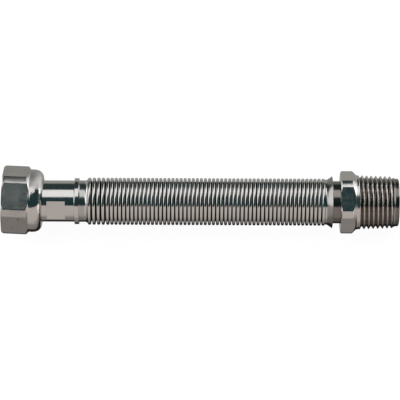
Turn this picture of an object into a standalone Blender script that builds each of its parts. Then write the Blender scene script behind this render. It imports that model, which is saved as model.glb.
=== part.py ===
"""Corrugated stainless steel hose connector for a half inch water or gas line.

A thin walled hose with ring shaped corrugations is welded between two turned
end fittings. The left one is a flat faced tail that carries a loose union nut
and its flat gasket. The right one is a hexagon nipple with a tapered male
end. The hose lies along X on its two hexagons, with the union nut at the -X
end, and the floor is Z = 0. The nut hangs a little askew on its tail. The
nipple's tapered male thread is a helical ridge with plain flanks. The nut's
own thread is left out: the nut is bored to its minor diameter.

All lengths are in metres. Stations are distances along the hose's axis from
the middle of the nut's mouth.
"""

import math

import bmesh
import bpy
from mathutils import Euler, Matrix

# Pipe threads, half inch, 14 threads to the inch
THREAD_DIAMETER = 0.020955
THREAD_PITCH = 0.001814
THREAD_DEPTH = 0.64 * THREAD_PITCH
THREAD_TAPER = 1 / 16
THREAD_GAUGE_LENGTH = 0.0082

# Union nut
NUT_FLATS = 0.024
NUT_CORNER_ROUNDING = 0.0022
NUT_HEX_LENGTH = 0.0098
NUT_CONE_LENGTH = 0.0009
NUT_CONE_HEIGHT = 0.001166
NUT_FLATS_RUN_OUT = 0.00095
NUT_COLLAR_DIAMETER = 0.0247
NUT_COLLAR_LENGTH = 0.0051
NUT_ROUNDING_LENGTH = 0.004
NUT_REAR_LAND = 0.0005
NUT_CHAMFER_LENGTH = 0.0006
NUT_CHAMFER_DEPTH = 0.0009
NUT_BASE_THICKNESS = 0.0032
NUT_COUNTERSINK = 0.0006
NUT_RELIEF_LENGTH = 0.0036
NUT_RELIEF_DEPTH = 0.0001
NUT_SKEW = math.radians(2.3)
NUT_DROP = 0.00012

# Running clearances of the nut on its tail
HOLE_PLAY = 0.0003
FLANGE_PLAY = 0.00045
FLANGE_GAP = 0.0005
# Clearance between pieces that touch
SEAT_GAP = 0.0003
# Stock that the hexagons are milled from stands this far past their corners
STOCK_ALLOWANCE = 0.0004

# Flat gasket
GASKET_THICKNESS = 0.002

# Tail that carries the union nut
TAIL_BORE_DIAMETER = 0.012
FLANGE_THICKNESS = 0.002
SLEEVE_DIAMETER = 0.0163
SLEEVE_LENGTH = 0.016
WRENCH_FLATS = 0.0141
WRENCH_LENGTH = 0.0073
WRENCH_SETBACK = 0.0038
WRENCH_ANGLE = math.radians(38)
COLLAR_HEIGHT = 0.0009
COLLAR_LENGTH = 0.0021
COLLAR_CHAMFER = 0.00025
SPIGOT_LENGTH = 0.0018

# Corrugated hose
CORRUGATIONS = 58
CORRUGATION_PITCH = 0.001603
WIDE_FOLDS = 4
WIDE_FOLD_PITCH = 0.0018
CORRUGATION_HEIGHT = 0.0015
CREST_WIDTH = 0.0008
ROOT_DIAMETER = 0.0156
HOSE_WALL = 0.00025
CREST_NARROWING = 0.0002
ROOT_THICKENING = 0.0002
CUFF_DIAMETER = 0.0164
CUFF_LENGTH = 0.0021
BELL_LENGTH = 0.001295
WAIST_DEPTH = 0.00045
WAIST_SETBACK = 0.0012
FLARE_LENGTH = 0.0023
FLARE_HEIGHT = 0.00148
FLARE_CURVE = 1.25

# Hexagon nipple with the male thread
NIPPLE_BORE_DIAMETER = 0.0125
NIPPLE_SPIGOT_LENGTH = 0.0025
NECK_DIAMETER = 0.0167
NECK_LENGTH = 0.0028
HEX_FLATS = 0.022
HEX_CORNER_ROUNDING = 0.0022
HEX_LENGTH = 0.0051
HEX_CHAMFER_LENGTH = 0.0008
HEX_CHAMFER_DEPTH = 0.0012
HEX_CONE_LENGTH = 0.0016
LAND_LENGTH = 0.0006
THREAD_LENGTH = 0.0142
THREAD_FADE = 0.0011
THREAD_START_TURN = 1 / 12
THREAD_RUN_OUT = 0.0007
TIP_LENGTH = 0.0019
TIP_DIAMETER = 0.0188
TIP_CHAMFER = 0.0004

# Faces round a turned piece, round the hose, and along each smaller curve
ROUND_STEPS = 24
HOSE_STEPS = 16
CORNER_STEPS = 3
ROUNDING_STEPS = 5
FLARE_STEPS = 3


def corner_reach(flats, rounding):
    """Distance from a hexagon's middle to the tip of its rounded corner."""
    return (flats / 2 - rounding) / math.cos(math.pi / 6) + rounding


# Radii that follow from the sizes above
THREAD_MINOR_RADIUS = THREAD_DIAMETER / 2 - THREAD_DEPTH
NUT_CORNER_RADIUS = corner_reach(NUT_FLATS, NUT_CORNER_ROUNDING)
HEX_CORNER_RADIUS = corner_reach(HEX_FLATS, HEX_CORNER_ROUNDING)
SLEEVE_RADIUS = SLEEVE_DIAMETER / 2
NUT_HOLE_RADIUS = SLEEVE_RADIUS + HOLE_PLAY
FLANGE_RADIUS = THREAD_MINOR_RADIUS - FLANGE_PLAY
CUFF_RADIUS = CUFF_DIAMETER / 2
ROOT_RADIUS = ROOT_DIAMETER / 2
INNER_ROOT_RADIUS = ROOT_RADIUS - HOSE_WALL - ROOT_THICKENING
CREST_RADIUS = ROOT_RADIUS + CORRUGATION_HEIGHT
WAIST_RADIUS = CREST_RADIUS - WAIST_DEPTH
RIM_RADIUS = WAIST_RADIUS + FLARE_HEIGHT

# Stations along the axis
NUT_LENGTH = NUT_HEX_LENGTH + NUT_CONE_LENGTH + NUT_COLLAR_LENGTH
SHOULDER_AT = NUT_LENGTH - NUT_BASE_THICKNESS
FLANGE_BACK_AT = SHOULDER_AT - FLANGE_GAP
FLANGE_FRONT_AT = FLANGE_BACK_AT - FLANGE_THICKNESS
COLLAR_AT = FLANGE_BACK_AT + SLEEVE_LENGTH
CUFF_AT = COLLAR_AT + COLLAR_LENGTH + SEAT_GAP
FIRST_CREST_AT = CUFF_AT + CUFF_LENGTH + BELL_LENGTH + CREST_WIDTH / 2
WIDE_FOLDS_END_AT = FIRST_CREST_AT + WIDE_FOLDS * WIDE_FOLD_PITCH
LAST_CREST_AT = WIDE_FOLDS_END_AT + (CORRUGATIONS - 1 - WIDE_FOLDS) * CORRUGATION_PITCH
WAIST_AT = LAST_CREST_AT + WAIST_SETBACK
RIM_AT = WAIST_AT + FLARE_LENGTH
HEX_AT = RIM_AT + NECK_LENGTH
HEX_END_AT = HEX_AT + HEX_LENGTH
THREAD_AT = HEX_END_AT + HEX_CONE_LENGTH + LAND_LENGTH
THREAD_END_AT = THREAD_AT + THREAD_LENGTH
NIPPLE_END_AT = THREAD_END_AT + TIP_LENGTH

# The nut turns on its own axis, which crosses the hose's axis in its rear hole
NUT_PIVOT_AT = NUT_LENGTH - NUT_BASE_THICKNESS / 2
NUT_AXIS_HEIGHT = max(NUT_FLATS, NUT_COLLAR_DIAMETER) / 2
HOSE_AXIS_HEIGHT = NUT_AXIS_HEIGHT - NUT_DROP
# The skewed mouth reaches this far past its middle, so this is the overall middle
MOUTH_RADIUS = NUT_CORNER_RADIUS - NUT_CHAMFER_DEPTH
MOUTH_REACH = MOUTH_RADIUS * math.sin(NUT_SKEW)
MIDDLE_AT = (NIPPLE_END_AT - MOUTH_REACH) / 2


def clear_scene():
    """Removes whatever the file holds at the start."""
    for obj in list(bpy.data.objects):
        bpy.data.objects.remove(obj, do_unlink=True)


def make_material(name, colour, roughness, metallic):
    """A Principled material of one colour."""
    material = bpy.data.materials.new(name)
    material.use_nodes = True
    shader = material.node_tree.nodes["Principled BSDF"]
    shader.inputs["Base Color"].default_value = (*colour, 1.0)
    shader.inputs["Roughness"].default_value = roughness
    shader.inputs["Metallic"].default_value = metallic
    material.diffuse_color = (*colour, 1.0)
    return material


def make_axis(name, station, height, turn_z=0.0):
    """An empty on an axis along X, at a station of the hose."""
    empty = bpy.data.objects.new(name, None)
    empty.location = (station - MIDDLE_AT, 0.0, height)
    empty.rotation_euler = Euler((0.0, 0.0, turn_z))
    bpy.context.scene.collection.objects.link(empty)
    return empty


def add_object(name, bm, parent, material=None):
    """Makes an object of a bmesh, with welded points and outward faces."""
    bmesh.ops.remove_doubles(bm, verts=bm.verts, dist=1e-7)
    bmesh.ops.recalc_face_normals(bm, faces=bm.faces)
    mesh = bpy.data.meshes.new(name)
    bm.to_mesh(mesh)
    bm.free()
    mesh.shade_smooth()
    mesh.set_sharp_from_angle(angle=math.radians(35))
    obj = bpy.data.objects.new(name, mesh)
    obj.parent = parent
    bpy.context.scene.collection.objects.link(obj)
    if material:
        mesh.materials.append(material)
    return obj


def spin_outline(bm, outline, steps, closed=True):
    """Turns an outline of (x, radius) points once round the X axis."""
    verts = [bm.verts.new((x, radius, 0.0)) for x, radius in outline]
    edges = [bm.edges.new(pair) for pair in zip(verts, verts[1:])]
    if closed:
        edges.append(bm.edges.new((verts[-1], verts[0])))
    bmesh.ops.spin(
        bm,
        geom=verts + edges,
        cent=(0.0, 0.0, 0.0),
        axis=(1.0, 0.0, 0.0),
        angle=2 * math.pi,
        steps=steps,
        use_merge=True,
    )


def cut(obj, cutter):
    """Takes a helper's shape away from an object, and hides the helper."""
    modifier = obj.modifiers.new("cut " + cutter.name, "BOOLEAN")
    modifier.operation = "DIFFERENCE"
    modifier.object = cutter
    cutter.hide_render = True
    cutter.display_type = "WIRE"


def hex_points(flats, rounding):
    """Points (y, z) round a hexagon with rounded corners and a flat on top."""
    centre_reach = (flats / 2 - rounding) / math.cos(math.pi / 6)
    points = []
    for corner in range(6):
        middle = corner * math.pi / 3
        for step in range(CORNER_STEPS + 1):
            angle = middle + math.pi / 3 * (step / CORNER_STEPS - 0.5)
            y = centre_reach * math.cos(middle) + rounding * math.cos(angle)
            z = centre_reach * math.sin(middle) + rounding * math.sin(angle)
            points.append((y, z))
    return points


def hex_cutter(name, start, end, flats, rounding, parent):
    """A tube with a hexagonal hole, which mills a hexagon out of turned stock."""
    bm = bmesh.new()
    inner = hex_points(flats, rounding)
    outer = hex_points(2 * flats, 2 * rounding)
    rings = []
    for station, points in ((start, inner), (end, inner), (end, outer), (start, outer)):
        rings.append([bm.verts.new((station, y, z)) for y, z in points])
    for ring, after in zip(rings, rings[1:] + rings[:1]):
        for i in range(len(ring)):
            bm.faces.new((ring[i - 1], ring[i], after[i], after[i - 1]))
    return add_object(name, bm, parent)


def quarter_ellipse(centre, length, depth):
    """Points from the top of an ellipse round to its +X end."""
    points = []
    for i in range(ROUNDING_STEPS + 1):
        angle = math.pi / 2 * (1 - i / ROUNDING_STEPS)
        points.append((centre[0] + length * math.cos(angle), centre[1] + depth * math.sin(angle)))
    return points


def build_union_nut(parent, material):
    """The loose nut: hexagon, cone, and a collar that rounds in to the hole for the tail."""
    base = -NUT_PIVOT_AT
    collar = NUT_COLLAR_DIAMETER / 2
    stock = max(NUT_CORNER_RADIUS, collar) + STOCK_ALLOWANCE
    cone_at = base + NUT_HEX_LENGTH
    collar_at = cone_at + NUT_CONE_LENGTH
    chamfer_run = NUT_CHAMFER_LENGTH / NUT_CHAMFER_DEPTH
    cone_run = NUT_CONE_LENGTH / NUT_CONE_HEIGHT
    end = base + NUT_LENGTH
    shoulder = base + SHOULDER_AT
    relief_at = shoulder - NUT_RELIEF_LENGTH
    relief = THREAD_DIAMETER / 2 + NUT_RELIEF_DEPTH
    depth = collar - NUT_HOLE_RADIUS - NUT_REAR_LAND
    rounding = quarter_ellipse((end - NUT_ROUNDING_LENGTH, collar - depth), NUT_ROUNDING_LENGTH, depth)
    outline = [
        (base, MOUTH_RADIUS),
        (base + chamfer_run * (stock - MOUTH_RADIUS), stock),
        (collar_at - cone_run * (stock - collar), stock),
        (collar_at, collar),
        *rounding,
        (end, NUT_HOLE_RADIUS),
        (shoulder, NUT_HOLE_RADIUS),
        (shoulder, relief),
        (relief_at, relief),
        (relief_at, THREAD_MINOR_RADIUS),
        (base + NUT_COUNTERSINK + THREAD_DEPTH, THREAD_MINOR_RADIUS),
        (base, THREAD_DIAMETER / 2 + NUT_COUNTERSINK),
    ]
    bm = bmesh.new()
    spin_outline(bm, outline, ROUND_STEPS)
    nut = add_object("union_nut", bm, parent, material)
    # The flats end just behind the cone, and the collar there stays round.
    start = base - NUT_CHAMFER_LENGTH
    flats_end = cone_at + NUT_FLATS_RUN_OUT
    cut(nut, hex_cutter("union_nut_flats", start, flats_end, NUT_FLATS, NUT_CORNER_ROUNDING, parent))
    return nut


def build_gasket(parent, material):
    """The flat ring that seals against the tail's flange."""
    back = FLANGE_FRONT_AT - SEAT_GAP
    front = back - GASKET_THICKNESS
    bm = bmesh.new()
    outline = [
        (front, FLANGE_RADIUS),
        (back, FLANGE_RADIUS),
        (back, TAIL_BORE_DIAMETER / 2),
        (front, TAIL_BORE_DIAMETER / 2),
    ]
    spin_outline(bm, outline, ROUND_STEPS)
    return add_object("flat_gasket", bm, parent, material)


def wrench_cutter(parent):
    """Two blocks that mill a pair of wrench flats across the sleeve."""
    bm = bmesh.new()
    start = FLANGE_BACK_AT + SLEEVE_LENGTH - WRENCH_LENGTH - WRENCH_SETBACK
    middle = start + WRENCH_LENGTH / 2
    depth = SLEEVE_RADIUS
    for side in (1, -1):
        place = Matrix.Rotation(WRENCH_ANGLE, 4, "X") @ Matrix.Translation(
            (middle, 0.0, side * (WRENCH_FLATS / 2 + depth / 2))
        )
        size = Matrix.Diagonal((WRENCH_LENGTH, 2 * SLEEVE_DIAMETER, depth, 1.0))
        bmesh.ops.create_cube(bm, size=1.0, matrix=place @ size)
    return add_object("wrench_flats", bm, parent)


def build_tail(parent, material):
    """The turned tail: flange, sleeve with wrench flats, weld collar and spigot."""
    collar = CUFF_RADIUS + COLLAR_HEIGHT
    collar_end = COLLAR_AT + COLLAR_LENGTH
    spigot = CUFF_RADIUS - HOSE_WALL - SEAT_GAP
    bore = TAIL_BORE_DIAMETER / 2
    outline = [
        (FLANGE_FRONT_AT, FLANGE_RADIUS),
        (FLANGE_BACK_AT, FLANGE_RADIUS),
        (FLANGE_BACK_AT, SLEEVE_RADIUS),
        (COLLAR_AT, SLEEVE_RADIUS),
        (COLLAR_AT, collar - COLLAR_CHAMFER),
        (COLLAR_AT + COLLAR_CHAMFER, collar),
        (collar_end - COLLAR_CHAMFER, collar),
        (collar_end, collar - COLLAR_CHAMFER),
        (collar_end, spigot),
        (collar_end + SPIGOT_LENGTH, spigot),
        (collar_end + SPIGOT_LENGTH, bore),
        (FLANGE_FRONT_AT, bore),
    ]
    bm = bmesh.new()
    spin_outline(bm, outline, ROUND_STEPS)
    tail = add_object("union_tail", bm, parent, material)
    cut(tail, wrench_cutter(parent))
    return tail


def flare_points(inset):
    """The right hand end of the hose, a waist that flares to a rim, drawn in by an inset."""
    points = []
    for i in range(FLARE_STEPS + 1):
        share = i / FLARE_STEPS
        radius = WAIST_RADIUS + FLARE_HEIGHT * share**FLARE_CURVE
        points.append((WAIST_AT + FLARE_LENGTH * share, radius - inset))
    return points


def crest_station(i):
    """Station of a crest. The folds next to the cuff are drawn apart a little."""
    if i < WIDE_FOLDS:
        return FIRST_CREST_AT + i * WIDE_FOLD_PITCH
    return WIDE_FOLDS_END_AT + (i - WIDE_FOLDS) * CORRUGATION_PITCH


def build_hose(parent, material):
    """The hose: a plain cuff, a bell, ring corrugations with flat crests, and a flared end."""
    half_crest = CREST_WIDTH / 2
    # The folds keep the wall's thickness on their slopes: narrower in a crest, deeper in a root.
    inner_half = half_crest - CREST_NARROWING
    inner_crest = CREST_RADIUS - HOSE_WALL
    bell_at = CUFF_AT + CUFF_LENGTH
    outer = [(CUFF_AT, CUFF_RADIUS), (bell_at, CUFF_RADIUS)]
    inner = [(CUFF_AT, CUFF_RADIUS - HOSE_WALL), (bell_at + HOSE_WALL / 2, CUFF_RADIUS - HOSE_WALL)]
    for i in range(CORRUGATIONS):
        crest = crest_station(i)
        outer += [(crest - half_crest, CREST_RADIUS), (crest + half_crest, CREST_RADIUS)]
        inner += [(crest - inner_half, inner_crest), (crest + inner_half, inner_crest)]
        if i < CORRUGATIONS - 1:
            root = (crest + crest_station(i + 1)) / 2
            outer.append((root, ROOT_RADIUS))
            inner.append((root, INNER_ROOT_RADIUS))
    outer += flare_points(0.0)
    inner += flare_points(HOSE_WALL)
    bm = bmesh.new()
    spin_outline(bm, outer + inner[::-1], HOSE_STEPS)
    return add_object("corrugated_hose", bm, parent, material)


def thread_crest_radius(station):
    """Radius over the crests of the tapered thread, which is nominal at its gauge length."""
    gauge_at = NIPPLE_END_AT - THREAD_GAUGE_LENGTH
    return THREAD_DIAMETER / 2 + THREAD_TAPER / 2 * (gauge_at - station)


def thread_point(row, step, steps):
    """A point on the right handed thread. Even rows follow its crest, and odd rows its root."""
    turn = step / steps
    station = THREAD_AT + THREAD_PITCH * (row / 2 - 1 + turn)
    station = min(max(station, THREAD_AT), THREAD_END_AT)
    radius = thread_crest_radius(station)
    if row % 2:
        to_end = min(station - THREAD_AT, THREAD_END_AT - station)
        radius -= THREAD_DEPTH * min(1.0, to_end / THREAD_FADE)
    angle = 2 * math.pi * (turn + round(THREAD_START_TURN * steps) / steps)
    return (station, radius * math.cos(angle), radius * math.sin(angle))


def wind_thread(bm, steps):
    """The threaded skin between two rings of the turned outline.

    Points past an end lie on its ring, and the last column lies on the first one, a turn
    further on. Both are welded afterwards, so the ridge rises from the land and runs out.
    """
    rows = 2 * (math.ceil(THREAD_LENGTH / THREAD_PITCH) + 1) + 1
    grid = []
    for row in range(rows):
        grid.append([bm.verts.new(thread_point(row, step, steps)) for step in range(steps + 1)])
    for row, after in zip(grid, grid[1:]):
        for i in range(steps):
            bm.faces.new((row[i], row[i + 1], after[i + 1], after[i]))


def build_nipple(parent, material):
    """The nipple: a spigot and cone inside the hose's flare, a neck, a hexagon and a threaded male end."""
    spigot = INNER_ROOT_RADIUS - SEAT_GAP
    spigot_at = WAIST_AT - NIPPLE_SPIGOT_LENGTH
    bore = NIPPLE_BORE_DIAMETER / 2
    neck = NECK_DIAMETER / 2
    stock = HEX_CORNER_RADIUS + STOCK_ALLOWANCE
    land = thread_crest_radius(THREAD_AT)
    face = HEX_CORNER_RADIUS - HEX_CHAMFER_DEPTH
    chamfer_run = HEX_CHAMFER_LENGTH / HEX_CHAMFER_DEPTH
    cone_run = HEX_CONE_LENGTH / (HEX_CORNER_RADIUS - land)
    tip = TIP_DIAMETER / 2
    outline = [
        (THREAD_END_AT, thread_crest_radius(THREAD_END_AT)),
        (THREAD_END_AT + THREAD_RUN_OUT, tip),
        (NIPPLE_END_AT - TIP_CHAMFER, tip),
        (NIPPLE_END_AT, tip - TIP_CHAMFER),
        (NIPPLE_END_AT, bore),
        (spigot_at, bore),
        (spigot_at, spigot),
        (WAIST_AT, spigot),
        *flare_points(HOSE_WALL + SEAT_GAP),
        (RIM_AT, neck),
        (HEX_AT, neck),
        (HEX_AT, face),
        (HEX_AT + chamfer_run * (stock - face), stock),
        (HEX_END_AT - cone_run * STOCK_ALLOWANCE, stock),
        (HEX_END_AT + HEX_CONE_LENGTH, land),
        (THREAD_AT, land),
    ]
    bm = bmesh.new()
    spin_outline(bm, outline, ROUND_STEPS, closed=False)
    wind_thread(bm, ROUND_STEPS)
    nipple = add_object("hex_nipple", bm, parent, material)
    start = HEX_AT - HEX_CHAMFER_LENGTH
    # The flats run out on the cone, which is turned below them before the land begins.
    end = HEX_END_AT + HEX_CONE_LENGTH + LAND_LENGTH / 2
    cut(nipple, hex_cutter("hex_nipple_flats", start, end, HEX_FLATS, HEX_CORNER_ROUNDING, parent))
    return nipple


def main():
    clear_scene()
    nut_steel = make_material("nut steel", (0.52, 0.52, 0.52), 0.34, 1.0)
    turned_steel = make_material("turned steel", (0.62, 0.61, 0.60), 0.22, 1.0)
    hose_steel = make_material("hose steel", (0.66, 0.65, 0.64), 0.18, 1.0)
    gasket_rubber = make_material("gasket rubber", (0.03, 0.03, 0.03), 0.7, 0.0)
    hose_axis = make_axis("hose_axis", 0.0, HOSE_AXIS_HEIGHT)
    nut_axis = make_axis("nut_axis", NUT_PIVOT_AT, NUT_AXIS_HEIGHT, -NUT_SKEW)
    build_union_nut(nut_axis, nut_steel)
    build_gasket(hose_axis, gasket_rubber)
    build_tail(hose_axis, turned_steel)
    build_hose(hose_axis, hose_steel)
    build_nipple(hose_axis, turned_steel)


main()
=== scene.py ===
# %% [markdown]
# # A corrugated stainless steel hose, dressed
#
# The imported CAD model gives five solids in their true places: a loose union nut, a flat gasket, the turned tail
# that carries the nut, the corrugated hose, and a hexagon nipple with a male thread. They are exact in size but
# plain: no threads, few faces, one colour. This lesson puts a finely meshed piece in the place of each of them
# and gives each its metal. The frame loads first, because it says where every piece sits and what moves.

import math

import bpy
import numpy as np
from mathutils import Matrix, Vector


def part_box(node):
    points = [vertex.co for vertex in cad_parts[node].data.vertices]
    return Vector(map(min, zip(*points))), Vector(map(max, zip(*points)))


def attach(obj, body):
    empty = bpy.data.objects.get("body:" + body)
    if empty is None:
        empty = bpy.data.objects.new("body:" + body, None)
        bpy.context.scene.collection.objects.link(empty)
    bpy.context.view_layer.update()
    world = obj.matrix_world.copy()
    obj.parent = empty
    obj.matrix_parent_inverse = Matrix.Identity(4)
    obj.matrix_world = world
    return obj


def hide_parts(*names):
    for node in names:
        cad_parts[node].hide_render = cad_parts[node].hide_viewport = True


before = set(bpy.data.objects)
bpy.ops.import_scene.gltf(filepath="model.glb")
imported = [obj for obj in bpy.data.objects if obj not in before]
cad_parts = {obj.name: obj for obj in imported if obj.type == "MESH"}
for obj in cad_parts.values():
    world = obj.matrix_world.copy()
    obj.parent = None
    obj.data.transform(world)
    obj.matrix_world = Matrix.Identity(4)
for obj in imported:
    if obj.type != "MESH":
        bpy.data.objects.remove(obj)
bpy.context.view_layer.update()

# %% [markdown]
# ## From a shape to a mesh
#
# Every piece here was turned on a lathe or rolled from a tube, so every one is a ring: a closed outline that goes
# round an axis. Such a surface is a function of two parameters, the place on the outline and the angle round the
# axis. On a grid of both, the whole shape is one numpy array. The grid closes on itself both ways, so it has no
# seam and no pole to mend. All lengths in the lesson are millimetres and become metres only in the mesh.

# %% A ring shaped surface as a mesh
MM = 0.001


def ring_mesh(name, points, sharp_angle, fields=None):
    """Mesh of a closed grid of points, shape (outline, angle, 3), in millimetres. Point (i, j) is joined to
    (i + 1, j) and (i, j + 1), and the last row and column to the first. The corners of each face go round so
    that it looks outwards. Edges sharper than the angle in degrees stay crisp. Fields are numbers kept on the
    points for the materials."""
    rows, columns = points.shape[:2]
    index = np.arange(rows * columns).reshape(rows, columns)
    below = np.roll(index, -1, axis=0)
    quads = np.stack([index, np.roll(index, -1, axis=1), np.roll(below, -1, axis=1), below], axis=-1).reshape(-1, 4)
    mesh = bpy.data.meshes.new(name)
    mesh.vertices.add(rows * columns)
    mesh.vertices.foreach_set("co", (points * MM).astype(np.float32).ravel())
    mesh.loops.add(quads.size)
    mesh.loops.foreach_set("vertex_index", quads.astype(np.int32).ravel())
    mesh.polygons.add(len(quads))
    mesh.polygons.foreach_set("loop_start", np.arange(0, quads.size, 4, dtype=np.int32))
    mesh.update(calc_edges=True)
    mesh.validate()
    for field, values in (fields or {}).items():
        attribute = mesh.attributes.new(field, "FLOAT", "POINT")
        attribute.data.foreach_set("value", np.broadcast_to(values, (rows, columns)).astype(np.float32).ravel())
    mesh.shade_smooth()
    mesh.set_sharp_from_angle(angle=math.radians(sharp_angle))
    piece = bpy.data.objects.new(name, mesh)
    bpy.context.scene.collection.objects.link(piece)
    print(f"{name}: {2 * len(quads)} triangles")
    return piece


def turned(stations, radii, angles):
    """Points of a surface turned about X: x is the station, y = radius cos(angle), z = radius sin(angle)."""
    stations, radii, angles = np.broadcast_arrays(stations, radii, angles[None, :])
    return np.stack([stations, radii * np.cos(angles), radii * np.sin(angles)], axis=-1)


# %% [markdown]
# ## Outlines with soft corners
#
# No edge of a real machined part is perfectly sharp: a cutter or a deburring wheel leaves a radius of some
# hundredths or tenths of a millimetre, and that radius is what catches the light as a thin bright line. So an
# outline is written as a few corners, each with its own radius, and a function turns every corner into a short
# arc. Where two shapes cross, such as a hexagon and a turned cone, a smooth minimum rounds the crossing.

# %% Fillets and smooth crossings
def filleted(corners, arc_steps=4):
    """Points along a polyline of (x, radius, fillet) corners. At each corner, the arc starts and ends fillet
    tan(half the turn) away along the two sides, and its points follow the quadratic curve through the corner:
    (1-t)² start + 2t(1-t) corner + t² end. No arc takes more than 45% of a side. One more point close outside each
    end of the arc keeps the curve's shading off the straight sides. The two ends of the polyline stay as they
    are."""
    spots = np.array([c[:2] for c in corners], float)
    fillets = np.array([c[2] for c in corners], float)[1:-1, None]
    before, here, after = spots[:-2], spots[1:-1], spots[2:]
    back, ahead = before - here, after - here
    back_length = np.linalg.norm(back, axis=1, keepdims=True)
    ahead_length = np.linalg.norm(ahead, axis=1, keepdims=True)
    back, ahead = back / back_length, ahead / ahead_length
    cosine = np.clip((back * ahead).sum(axis=1, keepdims=True), -0.9999, 0.9999)
    reach = fillets / np.tan(np.arccos(cosine) / 2)
    reach = np.minimum(reach, 0.45 * np.minimum(back_length, ahead_length))
    t = np.linspace(0, 1, arc_steps + 1)[None, :, None]
    start, end = here + back * reach, here + ahead * reach
    arcs = (1 - t) ** 2 * start[:, None] + 2 * t * (1 - t) * here[:, None] + t ** 2 * end[:, None]
    guard = 0.1 * np.minimum(back_length, ahead_length)
    arcs = np.concatenate([(start + back * guard / 3)[:, None], arcs, (end + ahead * guard / 3)[:, None]], axis=1)
    return np.concatenate([spots[:1], arcs.reshape(-1, 2), spots[-1:]])


def profile(x, radius):
    """Points (x, radius) of an outline. Either may be one number for all of them."""
    return np.stack(np.broadcast_arrays(x, radius), 1)


def soft_min(a, b, width):
    """The smaller of two radii. Where they differ by less than the width, a parabola rounds the corner off."""
    share = np.clip(0.5 + 0.5 * (b - a) / width, 0, 1)
    return b + (a - b) * share - width * share * (1 - share)


def fade(x, start, end):
    """0 before the start, 1 after the end, and the smooth curve 3t² - 2t³ between them."""
    t = np.clip((x - start) / (end - start), 0, 1)
    return t * t * (3 - 2 * t)


# %% [markdown]
# ## Hexagons
#
# The nut and the nipple are held by a spanner on six flats. Their corners were turned off on the lathe before the
# flats were milled, so each corner is a strip of a cylinder with a crisp edge on both sides. A hexagon in polar form
# fits the ring grid: its radius in each direction is where a ray from the middle meets a flat, or the cylinder if
# that comes first. The columns of the grid crowd together at the corners, where the edges are.

# %% A hexagon with turned corners, in polar form
SIXTH = math.pi / 3
EDGE_SOFTNESS = 0.06


def from_corner(angles):
    """The angle from each direction to the nearest of the six corners, which lie at 0, 60, 120 degrees and so on."""
    return np.abs((angles + SIXTH / 2) % SIXTH - SIXTH / 2)


def hexagon_radius(angles, flats, corner):
    """Radius of the hexagon in each direction. At an angle g from the nearest corner, the flat is met at
    (flats/2) / cos(30 - g) and the turned corner at its own radius; the smaller counts, with a softened edge."""
    g = from_corner(angles)
    return soft_min(flats / 2 / np.cos(SIXTH / 2 - g), np.full_like(g, corner), EDGE_SOFTNESS)


def hexagon_angles(corner_steps, flat_steps, corner_half=math.radians(8)):
    """Angles once round, closer together within corner_half of the six corners."""
    corner = np.linspace(-corner_half, corner_half, corner_steps, endpoint=False)
    flat = np.linspace(corner_half, SIXTH - corner_half, flat_steps, endpoint=False)
    return (np.arange(6)[:, None] * SIXTH + np.concatenate([corner, flat])[None, :]).ravel()


HEXAGON_COLUMNS = hexagon_angles(20, 20)
print("columns round a hexagon:", len(HEXAGON_COLUMNS))

# %% [markdown]
# ## Pipe threads
#
# A half inch pipe thread has 14 turns to the inch, a 1.814 mm pitch and a depth of 0.64 pitches, with slightly
# rounded crests and roots. It could be a profile swept along a helix, but then its ends need trimming. Worked out
# as a depth below the crests, it is one wave of the station and the angle together, and it can be faded in and
# out at its ends as a real die or tap leaves it.

# %% The thread as a wave
THREAD_DIAMETER = 20.955
THREAD_PITCH = 1.814
THREAD_DEPTH = 0.64 * THREAD_PITCH
THREAD_MINOR = THREAD_DIAMETER / 2 - THREAD_DEPTH
THREAD_SHARPNESS = 0.87


def thread_wave(stations, angles, crest_at):
    """Depth below the crest, from 0 at a crest to 1 at a root, of a right handed thread that has a crest at the
    station crest_at where the angle is 0. With p the turns from that crest, x/pitch - angle/360, and s the
    sharpness, it is half of 1 - arcsin(s cos 2πp) / arcsin(s). The nearer s is to 1, the straighter the flanks and
    the sharper the crests."""
    turns = (stations - crest_at) / THREAD_PITCH - angles / (2 * math.pi)
    wave = np.arcsin(THREAD_SHARPNESS * np.cos(2 * math.pi * turns)) / math.asin(THREAD_SHARPNESS)
    return (1 - wave) / 2


print(f"thread depth {THREAD_DEPTH:.3f} mm, minor diameter {2 * THREAD_MINOR:.3f} mm")

# %% [markdown]
# ## Where the pieces are
#
# The frame's boxes give the hose's axis and the stations of its ends, so nothing here is fitted by eye. The nut's
# own axis crosses the hose's axis in its rear hole and leans 2.3 degrees, because the nut hangs loose.

# %% Axes and stations from the frame
def node_box(node):
    """A CAD node's lowest and highest corner in millimetres."""
    low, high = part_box(node)
    return np.array(low) / MM, np.array(high) / MM


hose_low, hose_high = node_box("corrugated_hose")
tail_low, _ = node_box("union_tail")
_, nipple_high = node_box("hex_nipple")
nut_low, nut_high = node_box("union_nut")
CUFF_AT = hose_low[0]
RIM_AT = hose_high[0]
NIPPLE_END = nipple_high[0]
AXIS_HEIGHT = (hose_low[2] + hose_high[2]) / 2
NUT_HEIGHT = (nut_low[2] + nut_high[2]) / 2
print(f"hose axis {AXIS_HEIGHT:.2f} up, cuff at {CUFF_AT:.2f}, rim at {RIM_AT:.2f}, end at {NIPPLE_END:.2f}")
print(f"nut axis {NUT_HEIGHT:.2f} up")


def on_hose_axis(points):
    """Lifts points from the X axis to the hose's axis."""
    return points + np.array([0, 0, AXIS_HEIGHT])


# %% [markdown]
# ## The hose
#
# The real hose is a thin strip of stainless steel, welded into a tube and pressed into rings one after another.
# A pressed ring has a narrow flat top, round shoulders, walls that lean out a little, and a tight groove. The four
# rings next to the cuff are drawn apart. So the crests are one array of stations, and the outline is two small
# templates, one for the crest and one for the groove, that numpy lays down at every crest and between each two. The
# inside of the tube is the same outline one wall thickness deeper, so the hose is a real thin walled bellows.

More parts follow.
